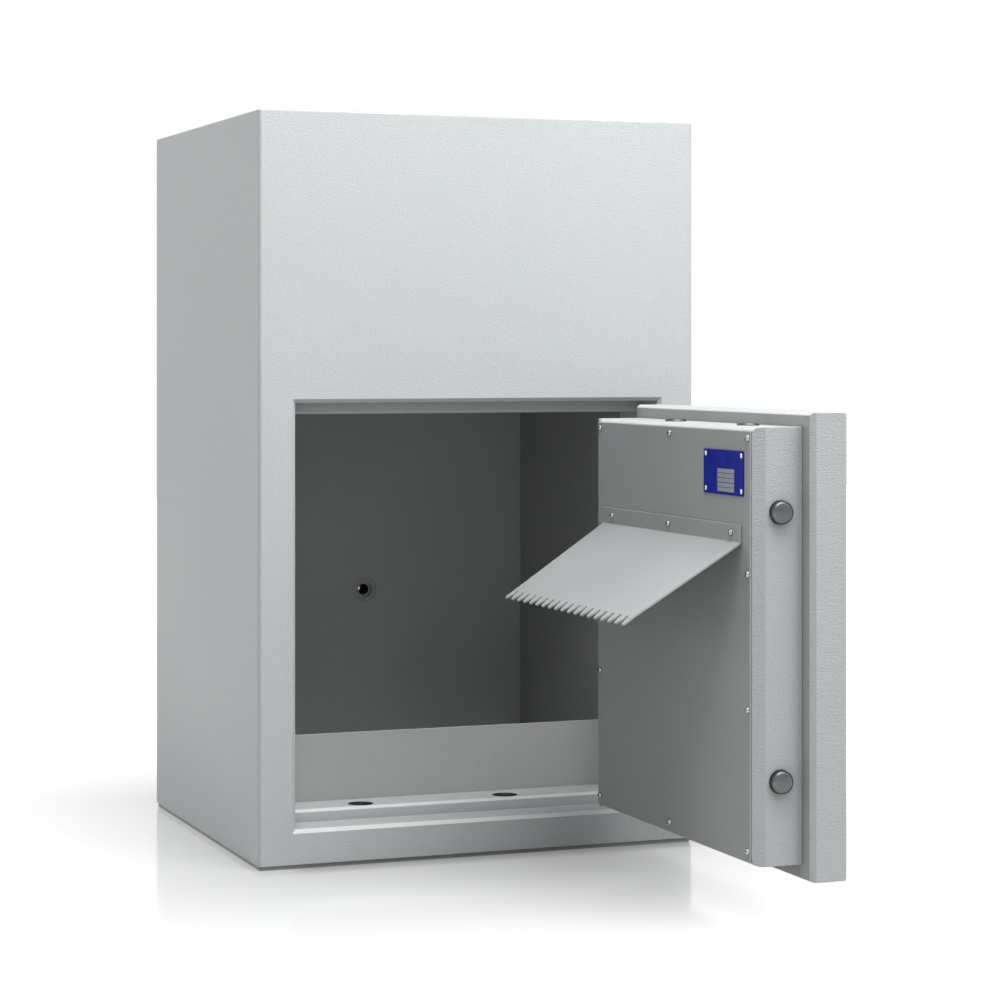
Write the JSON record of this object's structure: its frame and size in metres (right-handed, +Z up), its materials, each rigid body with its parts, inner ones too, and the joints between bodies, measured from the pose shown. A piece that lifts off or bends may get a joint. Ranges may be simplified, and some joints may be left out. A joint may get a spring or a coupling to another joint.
{
  "type": "drop safe",
  "caption": "Free-standing steel drop safe with an open hinged door, sliding boltwork, a saw-tooth baffle and a deposit drawer at the rear.",
  "frame": {"origin": "centre of the body's base, on the surface it stands on", "axes": "+Z up, the door faces -Y, +X to the right of someone who faces the door"},
  "size_m": [0.5, 0.9746, 0.8],
  "materials": {
    "paint": "light grey orange-peel powder coat",
    "inner_paint": "light grey smooth primer coat",
    "dark_steel": "dark oiled steel",
    "bright_steel": "turned bright steel",
    "brass": "satin brass",
    "black_plastic": "black moulded grip",
    "blue_plate": "blue enamelled plate, blank",
    "fill": "grey poured barrier fill"
  },
  "bodies": {
    "cabinet": {"base_plate": "dark_steel", "outer_shell": "paint", "door_frame": "paint", "strike_frame": "paint", "strike_plate_foot": "paint", "strike_plate_head": "paint", "strike_plate_side": "paint", "sill_plate": "inner_paint", "compartment_liner": "inner_paint", "chamber_liner": "inner_paint", "drop_chute": "inner_paint", "drawer_collar": "inner_paint", "fill_left": "fill", "fill_right": "fill", "fill_floor": "fill", "fill_top": "fill", "fill_back": "fill", "fill_front": "fill", "fill_shelf": "fill", "rear_anchor_sleeve": "dark_steel", "base_anchor_sleeve": "dark_steel", "hinge_bracket_lower": "paint", "hinge_bracket_upper": "paint", "hinge_pin_lower": "bright_steel", "hinge_pin_upper": "bright_steel", "runner_left": "bright_steel", "runner_right": "bright_steel"},
    "door": {"hinge_leaf_lower": "paint", "hinge_leaf_upper": "paint", "door_slab": "paint", "door_box": "paint", "door_cover": "inner_paint", "baffle_plate": "paint", "rating_plate": "blue_plate", "boltwork_carrier": "dark_steel", "lock_case": "brass", "handle_rosette": "bright_steel", "key_escutcheon": "bright_steel"},
    "handle": {"lever_handle": "black_plastic", "handle_spindle": "dark_steel", "cam_disc": "dark_steel"},
    "side_boltwork": {"side_bar": "dark_steel", "side_bolt_lower": "bright_steel", "side_bolt_upper": "bright_steel"},
    "top_boltwork": {"top_bar": "dark_steel", "top_bolt_outer": "bright_steel", "top_bolt_inner": "bright_steel"},
    "bottom_boltwork": {"bottom_bar": "dark_steel", "bottom_bolt_outer": "bright_steel", "bottom_bolt_inner": "bright_steel"},
    "key_lock_bolt": {"lock_bolt": "brass"},
    "keyhole_cover": {"key_cover": "bright_steel"},
    "drawer": {"drawer_side_left": "inner_paint", "drawer_side_right": "inner_paint", "drawer_barrier": "inner_paint", "drawer_ramp": "inner_paint", "drawer_front": "paint", "drawer_pull": "bright_steel"}
  },
  "joints": [
    {"name": "door_swing", "type": "hinge", "parent": "cabinet", "child": "door", "pos_m": [0.232, -0.263, 0.2665], "axis": [0, 0, 1], "range_deg": [-90, 90]},
    {"name": "handle_turn", "type": "hinge", "parent": "door", "child": "handle", "pos_m": [0.192, -0.555, 0.2665], "axis": [1, 0, 0], "range_deg": [0, 60]},
    {"name": "side_bolts_slide", "type": "slide", "parent": "door", "child": "side_boltwork", "axis": [0, -1, 0], "range_m": [0, 0.014]},
    {"name": "top_bolts_slide", "type": "slide", "parent": "door", "child": "top_boltwork", "axis": [0, 0, 1], "range_m": [0, 0.014]},
    {"name": "bottom_bolts_slide", "type": "slide", "parent": "door", "child": "bottom_boltwork", "axis": [0, 0, -1], "range_m": [0, 0.014]},
    {"name": "lock_bolt_slide", "type": "slide", "parent": "door", "child": "key_lock_bolt", "axis": [0, -1, 0], "range_m": [0, 0.01]},
    {"name": "key_cover_swing", "type": "hinge", "parent": "door", "child": "keyhole_cover", "pos_m": [0.1945, -0.4606, 0.2545], "axis": [1, 0, 0], "range_deg": [-120, 120]},
    {"name": "drawer_slide", "type": "slide", "parent": "cabinet", "child": "drawer", "axis": [0, 1, 0], "range_m": [0, 0.2]}
  ],
  "couplings": [
    {"joint": "side_bolts_slide", "follows": "handle_turn", "m_per_rad": 0.013369},
    {"joint": "top_bolts_slide", "follows": "handle_turn", "m_per_rad": 0.013369},
    {"joint": "bottom_bolts_slide", "follows": "handle_turn", "m_per_rad": 0.013369}
  ]
}
